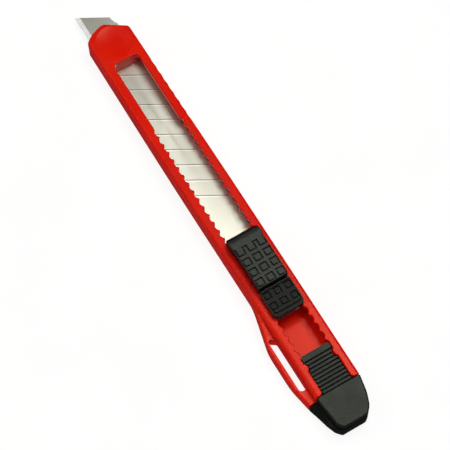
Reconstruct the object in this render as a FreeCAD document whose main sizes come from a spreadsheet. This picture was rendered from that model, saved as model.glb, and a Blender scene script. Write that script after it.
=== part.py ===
"""Snap-off utility knife, 9 mm blade, as an assembly of separate pieces.

Frame: millimetres. +X runs along the knife towards the blade's tip, +Y towards the cutting edge
and the lanyard loop, +Z up from the flat back to the thumb pad. X = 0 is about half-way along,
Y = 0 is the middle of the blade channel, and Z = 0 is the flat back that the knife lies on.

Pieces: case, blade, blade_carrier, thumb_pad, lock_spring, release_button, end_cap.
The carrier, the thumb pad and the blade slide together. The lock spring and the button on it
tilt about the spring's root. The end cap pulls off to the rear.
"""
import FreeCAD, Part
import math
import os

import Sketcher

Vector = FreeCAD.Vector
doc = FreeCAD.newDocument("utility_knife")

# ---------------------------------------------------------------------------------------------
# Driving dimensions
# ---------------------------------------------------------------------------------------------
SIZES = {
    # blade: a standard 9 mm snap-off blade
    "blade_length": 80.0,
    "blade_width": 9.0,
    "blade_thick": 0.4,
    "blade_pitch": 5.0,
    "blade_slant": 60.0,
    "blade_bevel": 1.25,
    "blade_edge": 0.06,
    "blade_bottom": 1.7,
    "score_first": 10.0,
    "score_count": 11,
    "score_width": 0.28,
    "score_depth": 0.09,
    "tip_front": 66.6,
    "blade_hole_radius": 1.0,
    "stud_radius": 0.9,
    "stud_place": -11.5,
    # case
    "case_rear": -56.3,
    "case_thick": 6.6,
    "floor_thick": 1.6,
    "lip_under": 5.0,
    "channel_half": 4.65,
    "blade_slot_top": 2.35,
    "nose_front": 59.0,
    "top_round": 0.85,
    "back_round": 0.6,
    "rim_round": 0.25,
    "window_front": 46.7,
    "window_corner": 1.2,
    "tooth_half": 3.55,
    "tooth_depth": 0.55,
    "tooth_pitch": 2.5,
    "tooth_tip_radius": 0.35,
    "tooth_first": 25.3,
    "tooth_count": 28,
    "bump_place": -48.6,
    "bump_reach": 1.1,
    "bump_height": 0.5,
    "dish_radius": 22.0,
    "dish_depth": 0.55,
    "dish_place": 52.6,
    "grip_first": 42.6,
    "grip_pitch": 3.0,
    "grip_count": 7,
    "grip_radius": 4.2,
    "grip_depth": 0.24,
    # lanyard loop
    "loop_top": 3.7,
    "loop_out": 9.15,
    "loop_round": 0.5,
    # carrier, pad, button
    "slide_gap": 0.15,
    "carrier_front": -10.3,
    "carrier_half": 4.5,
    "carrier_rear": -33.0,
    "carrier_low": 2.2,
    "carrier_tail_top": 2.6,
    "pad_front": -10.9,
    "pad_rear": -26.8,
    "pad_half": 4.2,
    "pad_under": 6.75,
    "pad_top": 10.4,
    "neck_half": 3.3,
    "peg_radius": 1.1,
    "square_pitch": 3.05,
    "row_pitch": 2.95,
    "square_outer": 2.3,
    "square_inner": 1.4,
    "square_depth": 0.6,
    "button_square_outer": 2.05,
    "button_square_inner": 1.2,
    "button_square_depth": 0.5,
    "square_first": -16.3,
    "button_front": -27.1,
    "button_rear": -34.7,
    "button_half": 4.3,
    "button_under": 7.7,
    "button_top": 8.5,
    "ridge_top": 9.0,
    # lock spring
    "spring_root": -24.8,
    "spring_rear": -34.0,
    "spring_low": 3.6,
    "spring_thick": 0.4,
    "spring_half": 3.0,
    "pawl_place": -33.45,
    "pawl_width": 1.0,
    "pawl_half": 3.85,
    "pawl_top": 5.6,
    # end cap
    "cap_front": -56.6,
    "cap_rear": -65.9,
    "slit_low": 4.45,
    "slit_high": 5.2,
    "slit_depth": 4.6,
    "tongue_front": -45.6,
    "tongue_half": 3.85,
    "tongue_low": 4.0,
    "tongue_top": 6.3,
    "rib_pitch": 1.0,
    "rib_count": 10,
    "rib_gap": 0.55,
    "rib_depth": 0.9,
    "plug_front": -49.5,
    "plug_half": 4.5,
    "plug_low": 1.75,
    "plug_top": 4.85,
}

sheet = doc.addObject("Spreadsheet::Sheet", "Size")
for row, (name, value) in enumerate(SIZES.items(), start=1):
    sheet.set(f"A{row}", name)
    sheet.set(f"B{row}", str(value))
    sheet.setAlias(f"B{row}", name)
doc.recompute()


class Sizes:
    """Reads a driving dimension from the sheet as a plain number."""

    def __getattr__(self, name):
        return float(sheet.get(name))


size = Sizes()


# ---------------------------------------------------------------------------------------------
# Sketch and feature helpers
# ---------------------------------------------------------------------------------------------
def new_body(label):
    body = doc.addObject("PartDesign::Body", label)
    body.Label = label
    return body


def origin_plane(body, role):
    return next(item for item in body.Origin.OriginFeatures if item.Role == role)


def new_sketch(body, name, role="XY_Plane", height=None):
    """A sketch on one of the body's own origin planes, raised to a height along its normal."""
    sketch = body.newObject("Sketcher::SketchObject", name)
    sketch.AttachmentSupport = [(origin_plane(body, role), "")]
    sketch.MapMode = "FlatFace"
    if height is not None:
        sketch.setExpression("AttachmentOffset.Base.z", height)
    return sketch


def number(owner, expression):
    return float(owner.evalExpression(expression))


def rectangle(sketch, left, right, low, high):
    """A rectangle whose four sides are each bound to an expression."""
    x0, x1, y0, y1 = (number(sketch, text) for text in (left, right, low, high))
    corners = [Vector(x0, y0), Vector(x1, y0), Vector(x1, y1), Vector(x0, y1)]
    first = sketch.GeometryCount
    for index in range(4):
        sketch.addGeometry(Part.LineSegment(corners[index], corners[(index + 1) % 4]), False)
    for index in range(4):
        after = first + (index + 1) % 4
        sketch.addConstraint(Sketcher.Constraint("Coincident", first + index, 2, after, 1))
        kind = "Horizontal" if index % 2 == 0 else "Vertical"
        sketch.addConstraint(Sketcher.Constraint(kind, first + index))
    for kind, corner, value, text in (
        ("DistanceX", 0, x0, left),
        ("DistanceY", 0, y0, low),
        ("DistanceX", 2, x1, right),
        ("DistanceY", 2, y1, high),
    ):
        place = sketch.addConstraint(Sketcher.Constraint(kind, -1, 1, first + corner, 1, value))
        sketch.setExpression(f"Constraints[{place}]", text)


def circle(sketch, x, y, radius):
    """A circle with its centre at a point and its radius bound to an expression."""
    ring = sketch.addGeometry(Part.Circle(Vector(x, y), Vector(0, 0, 1), number(sketch, radius)), False)
    place = sketch.addConstraint(Sketcher.Constraint("Radius", ring, number(sketch, radius)))
    sketch.setExpression(f"Constraints[{place}]", radius)


def closed_path(sketch, steps):
    """Lines (end,) and arcs (middle, end) joined end to end. The last end is the first start."""
    start = steps[-1][-1]
    for step in steps:
        end = step[-1]
        if len(step) == 1:
            sketch.addGeometry(Part.LineSegment(start, end), False)
        else:
            sketch.addGeometry(Part.Arc(start, step[0], end), False)
        start = end


def rounded(sketch, corners):
    """A polygon of (x, y, radius) corners, each rounded by a tangent arc of its radius."""
    steps = []
    count = len(corners)
    for index, (x, y, radius) in enumerate(corners):
        corner = Vector(x, y)
        if radius == 0:
            steps.append((corner,))
            continue
        before = Vector(*corners[index - 1][:2]) - corner
        after = Vector(*corners[(index + 1) % count][:2]) - corner
        before.normalize()
        after.normalize()
        half = before.getAngle(after) / 2
        inward = (before + after).normalize()
        centre = corner + inward * (radius / math.sin(half))
        reach = radius / math.tan(half)
        steps.append((corner + before * reach,))
        steps.append((centre - inward * radius, corner + after * reach))
    closed_path(sketch, steps)


def grow(body, kind, name, sketch, length, back=False):
    """A Pad or Pocket whose length is bound. It has to change the body's volume."""
    before = body.Shape.Volume if body.Tip else 0
    feature = body.newObject(f"PartDesign::{kind}", name)
    feature.Profile = sketch
    feature.setExpression("Length", length)
    feature.Reversed = back
    doc.recompute()
    change = body.Shape.Volume - before
    if change * (1 if kind == "Pad" else -1) < 1e-4:
        raise RuntimeError(f"{body.Label} {name} changed the volume by {change}")
    return feature


def pad(body, name, sketch, length, back=False):
    return grow(body, "Pad", name, sketch, length, back)


def pocket(body, name, sketch, length, back=False):
    return grow(body, "Pocket", name, sketch, length, back)


def soften(body, name, radius, wanted):
    """A fillet on the body's edges for which wanted(bounding box) is true."""
    tip = body.Tip
    edges = [f"Edge{i}" for i, edge in enumerate(tip.Shape.Edges, start=1) if wanted(edge.BoundBox)]
    fillet = body.newObject("PartDesign::Fillet", name)
    fillet.Base = (tip, edges)
    fillet.setExpression("Radius", radius)
    doc.recompute()
    if "Invalid" in fillet.State or not fillet.Shape.isValid():
        raise RuntimeError(f"{body.Label} {name} failed on {len(edges)} edges")
    return fillet


def repeat_backwards(body, name, feature, sketch, pitch, count):
    """A row of copies of a feature, one pitch apart towards -X."""
    row = body.newObject("PartDesign::LinearPattern", name)
    row.Originals = [feature]
    row.Direction = (sketch, ["H_Axis"])
    row.Reversed = True
    row.setExpression("Length", f"{pitch} * ({count} - 1)")
    row.setExpression("Occurrences", count)
    body.Tip = row
    doc.recompute()


def level(box, height):
    """True for an edge that lies flat at a height."""
    return abs(box.ZMin - height) < 1e-3 and abs(box.ZMax - height) < 1e-3


# ---------------------------------------------------------------------------------------------
# Case: a channel with toothed lips, a closed nose and a lanyard loop, in one moulding
# ---------------------------------------------------------------------------------------------
def side_point(x, y, side):
    return Vector(x, side * y)


def lip_edge(side):
    """One lip's inner edge, from the window's front to the case's rear, as path steps."""
    tip, deep = size.tooth_half, size.tooth_half + size.tooth_depth
    pitch, rear = size.tooth_pitch, size.case_rear
    # tangent tip and valley arcs: their radii add up to this sum
    radii = ((pitch / 2) ** 2 + size.tooth_depth ** 2) / (2 * size.tooth_depth)
    tip_radius = size.tooth_tip_radius
    valley_radius = radii - tip_radius
    tip_centre, valley_centre = tip + tip_radius, deep - valley_radius
    share = tip_radius / radii
    joint_x = share * pitch / 2
    joint_y = tip_centre + share * (valley_centre - tip_centre)
    # a point on the tip arc half-way between the tip and the joint
    lean = math.atan2(joint_x, tip_centre - joint_y) / 2
    half_x, half_y = tip_radius * math.sin(lean), tip_centre - tip_radius * math.cos(lean)

    corner, front = size.window_corner, size.window_front
    bend = corner * (1 - math.sqrt(0.5))
    steps = [
        (side_point(front, tip - corner, side),),
        (side_point(front - bend, tip - bend, side), side_point(front - corner, tip, side)),
        (side_point(size.tooth_first, tip, side),),
    ]
    for index in range(int(size.tooth_count)):
        x = size.tooth_first - index * pitch
        valley, following = x - pitch / 2, x - pitch
        steps.append((side_point(x - half_x, half_y, side), side_point(x - joint_x, joint_y, side)))
        steps.append((side_point(valley, deep, side), side_point(following + joint_x, joint_y, side)))
        steps.append((side_point(following + half_x, half_y, side), side_point(following, tip, side)))
    # past the last tooth the lip is as wide as the valleys, with one detent bump
    last = size.tooth_first - size.tooth_count * pitch
    valley = last - pitch / 2
    swing = math.atan2(pitch / 2 - joint_x, joint_y - valley_centre) / 2
    swing_x, swing_y = valley_radius * math.sin(swing), valley_centre + valley_radius * math.cos(swing)
    bump, reach = size.bump_place, size.bump_reach
    corner = 1.0
    bend = corner * (1 - math.sqrt(0.5))
    steps += [
        (side_point(last - half_x, half_y, side), side_point(last - joint_x, joint_y, side)),
        (side_point(valley + swing_x, swing_y, side), side_point(valley, deep, side)),
        (side_point(bump + reach, deep, side),),
        (side_point(bump, deep - size.bump_height, side), side_point(bump - reach, deep, side)),
        (side_point(rear + corner, deep, side),),
        (side_point(rear + bend, deep + bend, side), side_point(rear, deep + corner, side)),
        (side_point(rear - 1, deep + corner, side),),
    ]
    return steps


def backwards(steps):
    """The same path steps run from their end to their start, without the first step's own start."""
    ends = [step[-1] for step in steps]
    turned = []
    for index in range(len(steps) - 1, 0, -1):
        turned.append(steps[index][:-1] + (ends[index - 1],))
    return turned


def rail_outline(sketch):
    """The channel's outline seen from above, with the pointed nose."""
    rear, nose = size.case_rear, size.nose_front
    nearly_straight = 2500
    rounded(sketch, [
        (rear, -6.12, 0),
        (0, -6.2, nearly_straight),
        (nose - 3.85, -5.8, 1.2),
        (nose, 0, 1.6),
        (nose - 1.1, 3.6, 5),
        (nose - 3.0, 6.1, 1.4),
        (12, 6.42, nearly_straight),
        (rear, 6.12, 0),
    ])


def scallop_row(sketch):
    """Shallow arcs that meet in cusps just outside the shell's -Y side, closed well outside it."""
    pitch, half = size.grip_pitch, size.grip_pitch / 2
    fall = 0.0067
    side = -6.2
    sag = size.grip_radius - math.sqrt(size.grip_radius ** 2 - half ** 2)
    steps = []
    for index in range(int(size.grip_count)):
        x = size.grip_first - index * pitch
        deep = side + fall * x + size.grip_depth
        steps.append((Vector(x, deep), Vector(x - half, deep - sag)))
    start = Vector(size.grip_first + half, steps[0][0].y - sag)
    away = side - 4
    steps += [(Vector(steps[-1][-1].x, away),), (Vector(start.x, away),), (start,)]
    closed_path(sketch, steps)


def build_shell():
    """The channel itself: floor, walls, toothed lips and nose."""
    body = new_body("case_shell")
    top, rear, nose = size.case_thick, size.case_rear, size.nose_front

    outline = new_sketch(body, "shell_outline")
    rail_outline(outline)
    pad(body, "shell_block", outline, "Size.case_thick")
    soften(body, "top_edges", "Size.top_round", lambda box: level(box, top) and box.XMax > rear + 0.1)
    soften(body, "back_edges", "Size.back_round", lambda box: level(box, 0) and box.XMax > rear + 0.1)

    # a shallow dish in the nose's top face
    dish = body.newObject("PartDesign::SubtractiveSphere", "head_dish")
    dish.AttachmentSupport = [(origin_plane(body, "XY_Plane"), "")]
    dish.MapMode = "FlatFace"
    dish.setExpression("Radius", "Size.dish_radius")
    dish.setExpression("AttachmentOffset.Base.x", "Size.dish_place")
    dish.setExpression("AttachmentOffset.Base.z", "Size.case_thick + Size.dish_radius - Size.dish_depth")
    doc.recompute()

    # channel for the blade and its slide, open to the rear, and the blade's slot through the nose
    channel = new_sketch(body, "channel_section", "YZ_Plane", "Size.case_rear - 1")
    rectangle(channel, "-Size.channel_half", "Size.channel_half", "Size.floor_thick", "Size.lip_under")
    pocket(body, "channel", channel, "Size.window_front - Size.case_rear + 1", back=True)
    blade_slot = new_sketch(body, "blade_slot_section", "YZ_Plane", "Size.window_front - 1")
    rectangle(blade_slot, "-Size.channel_half", "Size.channel_half", "Size.floor_thick", "Size.blade_slot_top")
    pocket(body, "blade_slot", blade_slot, "20", back=True)

    # window between the two toothed lips
    window = new_sketch(body, "window_outline", height="Size.case_thick")
    closed_path(window, lip_edge(1) + backwards(lip_edge(-1)))
    pocket(body, "window", window, "Size.case_thick - Size.lip_under")
    soften(body, "window_rim", "Size.rim_round",
           lambda box: level(box, top) and box.YMax < 5.1 and box.YMin > -5.1 and box.XMax < size.window_front + 0.1)

    # finger grip: a row of shallow scallops along the -Y edge
    scallops = new_sketch(body, "grip_scallops", height="Size.case_thick")
    scallop_row(scallops)
    pocket(body, "finger_grip", scallops, "Size.case_thick")
    return body


def build_loop():
    """The lanyard loop: a lower flange that swells out of the +Y side, with a ramp down to it."""
    body = new_body("lanyard_loop")
    rear, out, low = size.case_rear, size.loop_out, size.loop_top
    wall, start = 5.2, -20.5
    outline = new_sketch(body, "loop_outline")
    rounded(outline, [
        (start, wall, 0),
        (start, 6.05, 0),
        (-27.0, 6.15, 25),
        (-39.5, out, 16),
        (-50.0, out, 22),
        (rear, 8.0, 0),
        (rear, wall, 0),
    ])
    ramp_top = low + 1.9
    pad(body, "loop_block", outline, str(ramp_top))
    ramp = new_sketch(body, "ramp_side", "XZ_Plane", "-5")
    rounded(ramp, [
        (start + 1, ramp_top + 0.5, 0),
        (-27.5, ramp_top, 0),
        (-37.5, low, 12),
        (rear - 1, low, 0),
        (rear - 1, ramp_top + 0.5, 0),
    ])
    pocket(body, "ramp", ramp, "10")
    soften(body, "loop_back_edges", "Size.back_round",
           lambda box: level(box, 0) and box.YMax > 6.5 and box.XMin > rear - 0.1 and box.XLength > 0.1)
    soften(body, "loop_top_edges", "Size.loop_round",
           lambda box: box.ZMin > low - 0.1 and box.YMax > 6.5 and box.YMin > wall + 0.1 and box.XLength > 0.1)
    return body


def build_case():
    shell, loop = build_shell(), build_loop()
    slot_body = new_body("lanyard_slot")
    slot = new_sketch(slot_body, "slot_outline", height="-1")
    rounded(slot, [
        (-36.8, 8.0, 0.5),
        (-38.2, 5.9, 0.7),
        (-52.4, 5.9, 0.9),
        (-52.4, 8.0, 0.9),
    ])
    pad(slot_body, "slot_tool", slot, "Size.case_thick")
    joined = doc.addObject("Part::Fuse", "case_joined")
    joined.Base, joined.Tool, joined.Refine = shell, loop, True
    case = doc.addObject("Part::Cut", "case")
    case.Base, case.Tool = joined, slot_body
    doc.recompute()
    return case


# ---------------------------------------------------------------------------------------------
# Blade: bevelled along +Y, scored across, with a hole for the carrier's stud
# ---------------------------------------------------------------------------------------------
def build_blade():
    body = new_body("blade")
    tip, half = size.tip_front, size.blade_width / 2
    slant = math.tan(math.radians(size.blade_slant))
    low, top = size.blade_bottom, size.blade_bottom + size.blade_thick
    tail = tip - size.blade_length

    outline = new_sketch(body, "blade_outline", height="Size.blade_bottom")
    relief_y = -half + 0.96
    closed_path(outline, [
        (Vector(tail, half),),
        (Vector(tail, -half),),
        (Vector(tip - 7.35, -half),),
        (Vector(tip - 6.3, -half + 0.6), Vector(tip - (half - relief_y) / slant, relief_y)),
        (Vector(tip, half),),
    ])
    pad(body, "blade_plate", outline, "Size.blade_thick")

    # the ground edge, from both faces
    bevel = new_sketch(body, "bevel_section", "YZ_Plane", "Size.tip_front - Size.blade_length - 1")
    beyond, edge = 0.25, size.blade_edge / 2
    middle = (low + top) / 2
    fall = (top - middle - edge) / size.blade_bevel
    for side in (-1, 1):
        face = middle + side * size.blade_thick / 2
        deep = face - side * fall * (size.blade_bevel + beyond)
        rounded(bevel, [
            (half - size.blade_bevel, face, 0),
            (half + beyond, face + side * 0.2, 0),
            (half + beyond, deep, 0),
        ])
    pocket(body, "bevel", bevel, "Size.blade_length + 2", back=True)

    # snap-off scores on the upper face
    score = new_sketch(body, "score_outline", height="Size.blade_bottom + Size.blade_thick")
    reach, wide = half + 0.2, size.score_width / 2
    front = tip - size.score_first + 0.2 / slant
    back = front - 2 * reach / slant
    rounded(score, [(front - wide, reach, 0), (front + wide, reach, 0), (back + wide, -reach, 0),
                    (back - wide, -reach, 0)])
    first = pocket(body, "score", score, "Size.score_depth")
    repeat_backwards(body, "scores", first, score, "Size.blade_pitch", "Size.score_count")

    hole = new_sketch(body, "hole_outline", height="Size.blade_bottom + Size.blade_thick")
    circle(hole, size.stud_place, 0, "Size.blade_hole_radius")
    pocket(body, "stud_hole", hole, "Size.blade_thick")
    return body


# ---------------------------------------------------------------------------------------------
# Slide: carrier under the lips, thumb pad above them
# ---------------------------------------------------------------------------------------------
PEGS = (-15.0, -22.0)
ROWS = (-1, 0, 1)


def build_carrier():
    body = new_body("blade_carrier")
    half, front = size.carrier_half, size.carrier_front
    throat = -26.2
    plate = new_sketch(body, "plate_outline", height="Size.carrier_low")
    rounded(plate, [(front, -half, 1.0), (throat, -half, 0), (throat, half, 0), (front, half, 1.0)])
    pad(body, "plate", plate, "Size.lip_under - Size.slide_gap - Size.carrier_low")
    tail = new_sketch(body, "tail_outline", height="Size.floor_thick + Size.slide_gap")
    rectangle(tail, "Size.carrier_rear", "Size.tip_front - Size.blade_length - 0.3",
              "-Size.carrier_half", "Size.carrier_half")
    pad(body, "tail", tail, "Size.carrier_tail_top - Size.floor_thick - Size.slide_gap")
    stud = new_sketch(body, "stud_outline", height="Size.floor_thick + Size.slide_gap")
    circle(stud, size.stud_place, 0, "Size.stud_radius")
    pad(body, "blade_stud", stud, "Size.carrier_low - Size.floor_thick")

    # sockets for the thumb pad's pegs, and the slot that holds the lock spring's root
    sockets = new_sketch(body, "socket_outline", height="Size.lip_under - Size.slide_gap")
    for place in PEGS:
        circle(sockets, place, 0, "Size.peg_radius + 0.05")
    pocket(body, "peg_sockets", sockets, "1.9")
    root = new_sketch(body, "root_slot_section", "YZ_Plane", str(throat - 0.5))
    rectangle(root, "-Size.spring_half - 0.15", "Size.spring_half + 0.15",
              "Size.spring_low - 0.15", "Size.spring_low + Size.spring_thick + 0.15")
    pocket(body, "spring_slot", root, f"Size.spring_root - ({throat - 0.5}) + 0.2", back=True)
    return body


def square_rings(sketch, columns, outer, inner, first):
    """Rings round a grid of squares, three across, from first towards -X."""
    for column in range(columns):
        for row in ROWS:
            x, y = first - column * size.square_pitch, row * size.row_pitch
            for reach in (outer / 2, inner / 2):
                rounded(sketch, [(x - reach, y - reach, 0.25), (x + reach, y - reach, 0.25),
                                 (x + reach, y + reach, 0.25), (x - reach, y + reach, 0.25)])


def front_meander(sketch):
    """One groove that runs round the rear of each front square and across between the squares."""
    outer, inner, front = size.square_outer / 2, size.square_inner / 2, size.square_first
    wide, edge = outer - inner, size.pad_half + 1
    far, near = front + outer, front + inner
    path = [(far, -edge, 0)]
    for row in ROWS:
        y = row * size.row_pitch
        path += [(far, y - inner, 0), (front - inner, y - inner, 0.15), (front - inner, y + inner, 0.15),
                 (far, y + inner, 0)]
    path.append((far, edge, 0))
    back = [(far - wide, edge, 0)]
    for row in reversed(ROWS):
        y = row * size.row_pitch
        back += [(far - wide, y + outer, 0), (front - outer, y + outer, 0.3), (front - outer, y - outer, 0.3),
                 (far - wide, y - outer, 0)]
    back.append((far - wide, -edge, 0))
    rounded(sketch, path + back)


def build_thumb_pad():
    body = new_body("thumb_pad")
    front, rear, half, top = size.pad_front, size.pad_rear, size.pad_half, size.pad_top
    outline = new_sketch(body, "pad_outline", height="Size.pad_under")
    bar, waist = half + 0.22, front - 3.6
    rounded(outline, [(front, -bar, 1.6), (waist, -bar, 0.4), (waist - 0.5, -half, 0.4), (rear, -half, 0.4),
                      (rear, half, 0.4), (waist - 0.5, half, 0.4), (waist, bar, 0.4), (front, bar, 1.2)])
    pad(body, "pad_block", outline, "Size.pad_top - Size.pad_under")
    # the front rises in a curve
    brow = new_sketch(body, "brow_side", "XZ_Plane", "-8")
    closed_path(brow, [
        (Vector(front - 0.25, size.pad_under + 0.6),),
        (Vector(front - 0.95, top - 0.75), Vector(front - 2.6, top)),
        (Vector(front - 2.6, top + 1),),
        (Vector(front + 1, top + 1),),
        (Vector(front + 1, size.pad_under + 0.6),),
    ])
    pocket(body, "brow", brow, "16", back=True)
    soften(body, "pad_edges", "0.3", lambda box: level(box, top) and box.XMax < front - 2)

    # square tread: a pad of each square is left standing in its groove
    grooves = new_sketch(body, "tread_outline", height="Size.pad_top")
    square_rings(grooves, 3, size.square_outer, size.square_inner, size.square_first - size.square_pitch)
    pocket(body, "tread", grooves, "Size.square_depth")
    meander = new_sketch(body, "meander_outline", height="Size.pad_top")
    front_meander(meander)
    pocket(body, "front_tread", meander, "Size.square_depth")

    neck = new_sketch(body, "neck_outline", height="Size.lip_under - Size.slide_gap")
    rectangle(neck, "Size.pad_rear + 0.4", "Size.pad_front - 2", "-Size.neck_half", "Size.neck_half")
    pad(body, "neck", neck, "Size.pad_under - Size.lip_under + Size.slide_gap")
    pegs = new_sketch(body, "peg_outline", height="Size.lip_under - Size.slide_gap - 1.8")
    for place in PEGS:
        circle(pegs, place, 0, "Size.peg_radius")
    pad(body, "pegs", pegs, "1.8")
    return body


# ---------------------------------------------------------------------------------------------
# Lock: a steel leaf with two pawls in the lips' notches, and the button that presses it down
# ---------------------------------------------------------------------------------------------
def build_lock_spring():
    body = new_body("lock_spring")
    half, root, rear = size.spring_half, size.spring_root, size.spring_rear
    ear, place, wide = size.pawl_half, size.pawl_place, size.pawl_width / 2
    leaf = new_sketch(body, "leaf_outline", height="Size.spring_low")
    rounded(leaf, [
        (root, -half, 0.6), (place + wide, -half, 0.3), (place + wide, -ear, 0), (place - wide, -ear, 0),
        (place - wide, ear, 0), (place + wide, ear, 0), (place + wide, half, 0.3), (root, half, 0.6),
    ])
    pad(body, "leaf", leaf, "Size.spring_thick")
    pawls = new_sketch(body, "pawl_outline", height="Size.spring_low")
    for low, high in (("-Size.pawl_half", "-Size.pawl_half + Size.spring_thick"),
                      ("Size.pawl_half - Size.spring_thick", "Size.pawl_half")):
        rectangle(pawls, "Size.pawl_place - Size.pawl_width / 2", "Size.pawl_place + Size.pawl_width / 2",
                  low, high)
    pad(body, "pawls", pawls, "Size.pawl_top - Size.spring_low")
    return body


def build_release_button():
    body = new_body("release_button")
    front, rear, half, top = size.button_front, size.button_rear, size.button_half, size.button_top
    plate = new_sketch(body, "button_outline", height="Size.button_under")
    rounded(plate, [(front, -half, 0.3), (rear, -half, 1.4), (rear, half, 1.4), (front, half, 0.3)])
    pad(body, "button_plate", plate, "Size.button_top - Size.button_under")
    ridges = new_sketch(body, "ridge_outline", height="Size.button_top")
    rounded(ridges, [(rear + 2.0, -half + 0.3, 0.35), (rear + 0.9, -half + 0.9, 0.45),
                     (rear + 0.9, half - 0.9, 0.45), (rear + 2.0, half - 0.3, 0.35)])
    rounded(ridges, [(front - 0.05, -half + 0.4, 0.1), (front - 0.45, -half + 0.4, 0.1),
                     (front - 0.45, half - 0.4, 0.1), (front - 0.05, half - 0.4, 0.1)])
    pad(body, "ridges", ridges, "Size.ridge_top - Size.button_top")
    soften(body, "button_edges", "0.2", lambda box: level(box, size.ridge_top) and box.XMax < front - 2)
    tread = new_sketch(body, "button_tread_outline", height="Size.button_top")
    square_rings(tread, 2, size.button_square_outer, size.button_square_inner,
                 size.square_first - 4 * size.square_pitch - 0.25)
    pocket(body, "button_tread", tread, "Size.button_square_depth")
    stem = new_sketch(body, "stem_outline", height="Size.spring_low + Size.spring_thick")
    rectangle(stem, "Size.button_rear + 1.2", "Size.button_front - 0.5", "-Size.spring_half", "Size.spring_half")
    pad(body, "stem", stem, "Size.button_under - Size.spring_low - Size.spring_thick")
    return body


# ---------------------------------------------------------------------------------------------
# End cap: closes the channel, with a ribbed tongue between the lips and a slit for snapping
# ---------------------------------------------------------------------------------------------
def build_end_cap():
    body = new_body("end_cap")
    front, rear = size.cap_front, size.cap_rear
    top = size.case_thick
    far_side = [(front, -6.05, 0), (-61.2, -5.2, 14), (-64.75, -3.75, 5), (rear, -2.1, 0.9)]
    base = new_sketch(body, "cap_base_outline")
    rounded(base, far_side + [
        (rear, 4.35, 0.9),
        (-64.5, 5.6, 2.5),
        (-62.2, 6.45, 5),
        (-59.4, 7.15, 10),
        (front, 7.95, 0),
    ])
    pad(body, "cap_base", base, "Size.loop_top")
    soften(body, "cap_back_edges", "Size.back_round", lambda box: level(box, 0) and box.XMin < front - 0.1)
    slope = new_sketch(body, "shoulder_section", "YZ_Plane", "Size.cap_front + 1")
    rounded(slope, [(6.0, size.loop_top + 0.1, 0), (8.4, 1.7, 9), (8.9, 0.9, 0), (8.9, size.loop_top + 0.1, 0)])
    pocket(body, "shoulder", slope, "12")
    block = new_sketch(body, "cap_outline", height="Size.loop_top - 1")
    rounded(block, far_side + [(rear, 4.05, 0.9), (-64.5, 5.3, 2.5), (front, 6.15, 0)])
    pad(body, "cap_block", block, "Size.case_thick - Size.loop_top + 1")
    soften(body, "cap_top_edges", "0.5", lambda box: level(box, top) and box.XMin < front - 0.1)
    slit = new_sketch(body, "slit_side", "XZ_Plane", "-12")
    rectangle(slit, "Size.cap_rear - 1", "Size.cap_rear + Size.slit_depth", "Size.slit_low", "Size.slit_high")
    pocket(body, "snap_slit", slit, "24", back=True)

    # what holds it in the channel: a plug under the lips and a springy tongue between them
    plug = new_sketch(body, "plug_outline", height="Size.plug_low")
    rectangle(plug, "Size.cap_front - 0.5", "Size.plug_front", "-Size.plug_half", "Size.plug_half")
    pad(body, "plug", plug, "Size.plug_top - Size.plug_low")
    tongue = new_sketch(body, "tongue_outline", height="Size.tongue_low")
    half, tip, notch, reach = size.tongue_half, size.tongue_front, size.bump_place, 1.3
    deep = half - size.bump_height - 0.07
    closed_path(tongue, [
        (Vector(tip, half - 0.4),),
        (Vector(tip - 0.12, half - 0.12), Vector(tip - 0.4, half)),
        (Vector(notch + reach, half),),
        (Vector(notch, deep), Vector(notch - reach, half)),
        (Vector(front - 0.5, half),),
        (Vector(front - 0.5, -half),),
        (Vector(notch - reach, -half),),
        (Vector(notch, -deep), Vector(notch + reach, -half)),
        (Vector(tip - 0.4, -half),),
        (Vector(tip - 0.12, -half + 0.12), Vector(tip, -half + 0.4)),
    ])
    pad(body, "tongue", tongue, "Size.tongue_top - Size.tongue_low")
    gap = new_sketch(body, "rib_gap_outline", height="Size.tongue_top")
    rectangle(gap, "Size.tongue_front - 1.5 - Size.rib_gap", "Size.tongue_front - 1.5", "-5", "5")
    first = pocket(body, "rib_groove", gap, "Size.rib_depth")
    repeat_backwards(body, "rib_grooves", first, gap, "Size.rib_pitch", "Size.rib_count")
    return body


# ---------------------------------------------------------------------------------------------
# Build, check and write
# ---------------------------------------------------------------------------------------------
BUILDERS = (build_case, build_blade, build_carrier, build_thumb_pad, build_lock_spring,
            build_release_button, build_end_cap)
parts = [build() for build in BUILDERS]
doc.recompute()

for item in doc.Objects:
    if "Invalid" in item.State or "Error" in item.State:
        raise RuntimeError(f"{item.Label} failed: {item.State}")
for part in parts:
    if part.Shape.isNull() or not part.Shape.isValid():
        raise RuntimeError(f"{part.Label} has no valid shape")

os.makedirs("parts", exist_ok=True)
for part in parts:
    part.Shape.exportStep(f"parts/{part.Label}.step")
    print(part.Label, len(part.Shape.Solids), "solid,", round(part.Shape.Volume, 1), "mm3")
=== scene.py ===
"""Looks of the snap-off utility knife: materials on the CAD nodes, a pale floor, soft light, camera.

Metres, in the row frame: +X towards the blade's tip, +Y towards the cutting edge and the lanyard
loop, +Z up from the flat back.
"""
import math

import bpy
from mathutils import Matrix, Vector

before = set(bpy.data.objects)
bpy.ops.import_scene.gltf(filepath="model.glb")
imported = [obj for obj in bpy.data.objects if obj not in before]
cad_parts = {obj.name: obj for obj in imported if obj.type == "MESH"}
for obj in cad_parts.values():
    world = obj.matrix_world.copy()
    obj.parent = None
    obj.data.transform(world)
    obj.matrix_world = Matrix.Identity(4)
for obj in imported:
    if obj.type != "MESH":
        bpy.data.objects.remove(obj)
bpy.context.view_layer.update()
MM = 0.001

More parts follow.
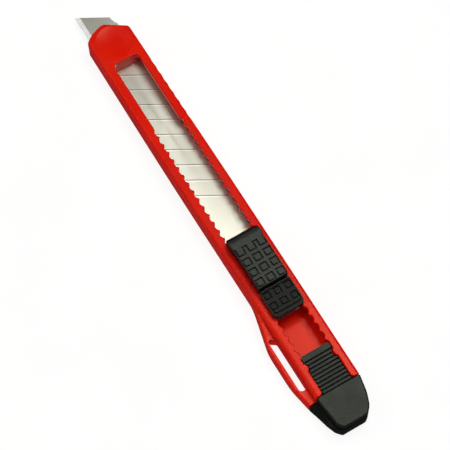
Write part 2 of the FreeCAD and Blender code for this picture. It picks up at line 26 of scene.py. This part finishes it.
# sizes taken from the CAD, where a material has to know them
BLADE_TIP = 66.6 * MM
BLADE_EDGE = 4.5 * MM
BEVEL_FOOT = 3.25 * MM
SCORE_PITCH = 5.0 * MM
SCORE_SLANT = math.radians(60)
PAD_TOP = 10.4 * MM
BUTTON_TOP = 8.5 * MM
TONGUE_TOP = 6.3 * MM


# ---------------------------------------------------------------------------------------------
# Node helpers
# ---------------------------------------------------------------------------------------------
class Tree:
    """A material's node tree, with one Principled shader and short ways to add what feeds it."""

    def __init__(self, name, **constants):
        self.material = bpy.data.materials.new(name)
        self.material.use_nodes = True
        self.nodes = self.material.node_tree.nodes
        self.links = self.material.node_tree.links
        self.shader = next(node for node in self.nodes if node.type == "BSDF_PRINCIPLED")
        for socket, value in constants.items():
            self.shader.inputs[socket.replace("_", " ")].default_value = value
        self.place = self.add("ShaderNodeTexCoord").outputs["Object"]

    def add(self, kind, **settings):
        node = self.nodes.new(kind)
        for key, value in settings.items():
            setattr(node, key, value)
        return node

    def feed(self, socket, value):
        if isinstance(value, bpy.types.NodeSocket):
            self.links.new(value, socket)
        else:
            socket.default_value = value

    def stretched(self, scale, turn=0.0):
        node = self.add("ShaderNodeMapping")
        self.links.new(self.place, node.inputs["Vector"])
        node.inputs["Rotation"].default_value = (0, 0, turn)
        node.inputs["Scale"].default_value = scale
        return node.outputs["Vector"]

    def noise(self, scale, detail=3.0, rough=0.5, vector=None):
        node = self.add("ShaderNodeTexNoise")
        self.links.new(vector or self.place, node.inputs["Vector"])
        node.inputs["Scale"].default_value = scale
        node.inputs["Detail"].default_value = detail
        node.inputs["Roughness"].default_value = rough
        return node.outputs["Fac"]

    def cells(self, scale):
        node = self.add("ShaderNodeTexVoronoi")
        self.links.new(self.place, node.inputs["Vector"])
        node.inputs["Scale"].default_value = scale
        return node.outputs["Distance"]

    def spread(self, value, low, high, to_low=0.0, to_high=1.0):
        """The value's stretch from low to high, clamped, as a stretch from to_low to to_high."""
        node = self.add("ShaderNodeMapRange")
        self.feed(node.inputs["Value"], value)
        limits = {"From Min": low, "From Max": high, "To Min": to_low, "To Max": to_high}
        for key, number in limits.items():
            node.inputs[key].default_value = number
        return node.outputs["Result"]

    def math(self, operation, first, second=0.0):
        node = self.add("ShaderNodeMath", operation=operation)
        self.feed(node.inputs[0], first)
        self.feed(node.inputs[1], second)
        return node.outputs[0]

    def blend(self, share, first, second):
        """A colour between two, each a colour or a socket."""
        node = self.add("ShaderNodeMix", data_type="RGBA")
        self.feed(node.inputs["Factor"], share)
        for socket, value in ((node.inputs[6], first), (node.inputs[7], second)):
            self.feed(socket, value if isinstance(value, bpy.types.NodeSocket) else (*value, 1.0))
        return node.outputs[2]

    def axes(self):
        node = self.add("ShaderNodeSeparateXYZ")
        self.links.new(self.place, node.inputs["Vector"])
        return node.outputs

    def bump(self, *layers):
        """Bump from (height, distance in metres) layers, one on another."""
        last = None
        for height, distance in layers:
            node = self.add("ShaderNodeBump")
            node.inputs["Distance"].default_value = distance
            node.inputs["Strength"].default_value = 1.0
            self.links.new(height, node.inputs["Height"])
            if last is not None:
                self.links.new(last, node.inputs["Normal"])
            last = node.outputs["Normal"]
        self.links.new(last, self.shader.inputs["Normal"])

    def finish(self, colour, roughness):
        self.feed(self.shader.inputs["Base Color"], colour)
        self.feed(self.shader.inputs["Roughness"], roughness)
        return self.material


# ---------------------------------------------------------------------------------------------
# Materials
# ---------------------------------------------------------------------------------------------
def red_plastic():
    """Glossy moulded plastic: a little cloudy, with faint orange peel and fine rubbed streaks."""
    tree = Tree("red_plastic", IOR=1.5, Specular_IOR_Level=0.26, Specular_Tint=(1.0, 0.46, 0.32, 1.0))
    clouds = tree.noise(70, 3, 0.55)
    flow = tree.noise(45, 3, 0.5, tree.stretched((1.0, 3.0, 3.0)))
    colour = tree.blend(tree.spread(clouds, 0.3, 0.7), (0.77, 0.003, 0.001), (0.88, 0.012, 0.003))
    colour = tree.blend(tree.spread(flow, 0.4, 0.75, 0.0, 0.3), colour, (0.92, 0.034, 0.008))
    rubbed = tree.noise(300, 5, 0.7, tree.stretched((0.3, 1.2, 1.2), 0.3))
    roughness = tree.spread(rubbed, 0.35, 0.75, 0.21, 0.31)
    tree.bump((tree.noise(1400, 2, 0.4), 0.000008), (clouds, 0.00006))
    return tree.finish(colour, roughness)


def black_plastic(name, base, worn_and_lit_top, roughness_low, roughness_high, top, gloss=0.25):
    """Satin moulded plastic with a fine spark-eroded grain, paler in patches near its top: partly
    wear, partly painted light on the tops, which leaves painted shade in the hollows below.
    """
    tree = Tree(name, IOR=1.5, Specular_IOR_Level=gloss, Specular_Tint=(0.95, 1.0, 0.86, 1.0))
    patches = tree.noise(260, 4, 0.6)
    grain = tree.noise(5200, 2, 0.6)
    dust = tree.spread(tree.cells(1900), 0.0, 0.16, 1.0, 0.0)
    # painted light and wear: near the top the colour turns paler, lower down it stays darker as
    # painted shade
    top_wear_and_light = tree.spread(tree.axes()[2], top - 0.45 * MM, top - 0.20 * MM)
    share = tree.math("MULTIPLY", top_wear_and_light, tree.spread(patches, 0.3, 0.75, 0.35, 1.0))
    colour = tree.blend(share, base, worn_and_lit_top)
    colour = tree.blend(tree.math("MULTIPLY", dust, 0.10), colour, (0.20, 0.20, 0.19))
    roughness = tree.spread(patches, 0.3, 0.7, roughness_low, roughness_high)
    tree.bump((grain, 0.000022), (patches, 0.00005))
    return tree.finish(colour, roughness)


def blade_steel():
    """Ground spring steel: streaks along the blade, a smoother cross-ground edge painted paler as a
    highlight, score lines painted dark as shade with a painted highlight on each burr.
    """
    tree = Tree("blade_steel", Metallic=1.0, Anisotropic=0.25)
    x, y = tree.axes()[:2]
    streaks = tree.noise(900, 4, 0.65, tree.stretched((0.05, 2.2, 1.0)))
    across = tree.noise(2400, 3, 0.6, tree.stretched((1.0, 0.06, 1.0), math.radians(4)))
    stain = tree.noise(140, 4, 0.6)
    steel = tree.blend(tree.spread(streaks, 0.2, 0.8), (0.61, 0.60, 0.505), (0.645, 0.635, 0.53))
    steel = tree.blend(tree.spread(stain, 0.5, 0.8, 0.0, 0.05), steel, (0.47, 0.44, 0.36))
    # the ground edge along +Y, smoother, and painted paler as a highlight
    edge = tree.spread(y, BEVEL_FOOT - 0.03 * MM, BEVEL_FOOT + 0.05 * MM)
    steel = tree.blend(edge, steel, (1.0, 1.0, 0.97))
    # score lines at every pitch along X, slanted: painted shade in each groove with a painted
    # highlight on the burr behind it
    lean = tree.math("DIVIDE", tree.math("SUBTRACT", BLADE_EDGE, y), math.tan(SCORE_SLANT))
    half = 0.5 * SCORE_PITCH
    along = tree.math("SUBTRACT", tree.math("SUBTRACT", BLADE_TIP, x), lean)
    phase = tree.math("MODULO", tree.math("ADD", along, half), SCORE_PITCH)
    off = tree.math("ABSOLUTE", tree.math("SUBTRACT", phase, half))
    burr_highlight_off = tree.math("ABSOLUTE", tree.math("SUBTRACT", phase, half + 0.30 * MM))
    score_shade = tree.spread(off, 0.10 * MM, 0.17 * MM, 1.0, 0.0)
    burr_highlight = tree.spread(burr_highlight_off, 0.08 * MM, 0.20 * MM, 1.0, 0.0)
    # the first line is two pitches back, the last one twelve
    first, last = 1.5 * SCORE_PITCH, 12.5 * SCORE_PITCH
    scored = tree.math("MULTIPLY", tree.spread(along, first - 0.1 * MM, first),
                       tree.spread(along, last - 0.1 * MM, last, 1.0, 0.0))
    # painted highlight on the burr behind each score line
    steel = tree.blend(tree.math("MULTIPLY", burr_highlight, tree.math("MULTIPLY", scored, 0.6)), steel,
                       (0.98, 0.97, 0.92))
    # painted shade in each score groove
    steel = tree.blend(tree.math("MULTIPLY", score_shade, tree.math("MULTIPLY", scored, 0.8)), steel,
                       (0.20, 0.19, 0.16))
    roughness = tree.math("SUBTRACT", tree.spread(across, 0.3, 0.7, 0.36, 0.42),
                          tree.math("MULTIPLY", edge, 0.12))
    tree.bump((streaks, 0.0000003), (across, 0.0000005))
    return tree.finish(steel, roughness)


def spring_steel():
    tree = Tree("spring_steel", Metallic=1.0)
    streaks = tree.noise(1100, 3, 0.6, tree.stretched((0.1, 2.0, 1.0)))
    colour = tree.blend(tree.spread(streaks, 0.3, 0.7), (0.36, 0.36, 0.37), (0.52, 0.52, 0.52))
    tree.bump((streaks, 0.000002))
    return tree.finish(colour, tree.spread(streaks, 0.3, 0.7, 0.3, 0.45))


red = red_plastic()
slider_black = black_plastic("slider_black", (0.005, 0.0055, 0.005), (0.036, 0.038, 0.034),
                             0.33, 0.45, PAD_TOP)
button_black = black_plastic("button_black", (0.003, 0.003, 0.003), (0.016, 0.016, 0.014),
                             0.36, 0.50, BUTTON_TOP, 0.12)
cap_black = black_plastic("cap_black", (0.004, 0.006, 0.004), (0.019, 0.022, 0.016),
                          0.38, 0.50, TONGUE_TOP)
FINISH = {
    "case": red,
    "blade": blade_steel(),
    "blade_carrier": slider_black,
    "thumb_pad": slider_black,
    "release_button": button_black,
    "lock_spring": spring_steel(),
    "end_cap": cap_black,
}
for name, finish in FINISH.items():
    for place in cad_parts[name].material_slots:
        place.material = finish


# ---------------------------------------------------------------------------------------------
# Floor, light and camera
# ---------------------------------------------------------------------------------------------
def floor_piece(half=3.0):
    mesh = bpy.data.meshes.new("floor")
    corners = [(-half, -half, 0), (half, -half, 0), (half, half, 0), (-half, half, 0)]
    mesh.from_pydata(corners, [], [(0, 1, 2, 3)])
    piece = bpy.data.objects.new("floor", mesh)
    bpy.context.collection.objects.link(piece)
    piece.location.z = -0.05 * MM
    # a frosted light table: part of its white comes from below, so narrow gaps stay pale. Seen in
    # reflections it is painted nearly black, so the knife's sides and edges reflect painted shade
    # instead of a white floor.
    tree = Tree("pale_floor", Specular_IOR_Level=0.0, Emission_Color=(1.0, 1.0, 0.995, 1.0))
    # painted shade in reflections: glossy rays see the floor dim and dark
    glossy = tree.add("ShaderNodeLightPath").outputs["Is Glossy Ray"]
    tree.feed(tree.shader.inputs["Emission Strength"], tree.spread(glossy, 0.0, 1.0, 0.885, 0.02))
    paper = tree.noise(40, 3, 0.5)
    colour = tree.blend(tree.spread(paper, 0.3, 0.7), (0.14, 0.14, 0.14), (0.17, 0.17, 0.17))
    colour = tree.blend(glossy, colour, (0.04, 0.04, 0.04))
    mesh.materials.append(tree.finish(colour, 0.9))


def softbox(name, place, aim, width, height, radiance):
    """An area light whose face has the same radiance whatever its size."""
    light = bpy.data.lights.new(name, "AREA")
    light.shape = "RECTANGLE"
    light.size, light.size_y = width, height
    light.energy = radiance * math.pi * width * height
    lamp = bpy.data.objects.new(name, light)
    bpy.context.collection.objects.link(lamp)
    lamp.location = place
    lamp.rotation_euler = (Vector(aim) - Vector(place)).to_track_quat("-Z", "Y").to_euler()


def studio():
    world = bpy.data.worlds.new("studio")
    bpy.context.scene.world = world
    world.use_nodes = True
    # pale overhead, darker towards the horizon
    nodes, links = world.node_tree.nodes, world.node_tree.links
    place = nodes.new("ShaderNodeTexCoord")
    axes = nodes.new("ShaderNodeSeparateXYZ")
    rise = nodes.new("ShaderNodeMapRange")
    for key, number in (("From Min", 0.05), ("From Max", 0.9), ("To Min", 0.06), ("To Max", 0.26)):
        rise.inputs[key].default_value = number
    links.new(place.outputs["Generated"], axes.inputs["Vector"])
    links.new(axes.outputs["Z"], rise.inputs["Value"])
    links.new(rise.outputs["Result"], nodes["Background"].inputs["Strength"])
    softbox("overhead", (-0.07, 0.0, 0.62), (-0.07, 0.0, 0.0), 0.70, 0.95, 0.84)
    softbox("front_strip", (0.40, 0.22, 0.62), (0.40, 0.22, 0.0), 0.22, 0.40, 0.7)
    softbox("edge_strip", (0.20, 0.44, 0.50), (0.0, 0.0, 0.0), 0.50, 0.10, 3.2)
    softbox("tip_light", (0.381, 0.050, 0.60), (0.062, 0.004, 0.0), 0.10, 0.10, 0.8)
    softbox("key", (0.03, -0.20, 0.61), (0.0, 0.0, 0.0), 0.26, 0.26, 7.6)
    bpy.context.scene.view_settings.view_transform = "Standard"


def camera():
    view = bpy.data.cameras.new("camera")
    view.sensor_width, view.lens = 36.0, 144.0
    view.clip_start, view.clip_end = 0.01, 20.0
    eye = bpy.data.objects.new("camera", view)
    bpy.context.collection.objects.link(eye)
    eye.location = (-0.16158, 0.08524, 0.41535)
    eye.rotation_euler = [math.radians(angle) for angle in (23.273, 1.023, -120.696)]
    bpy.context.scene.camera = eye


floor_piece()
studio()
camera()
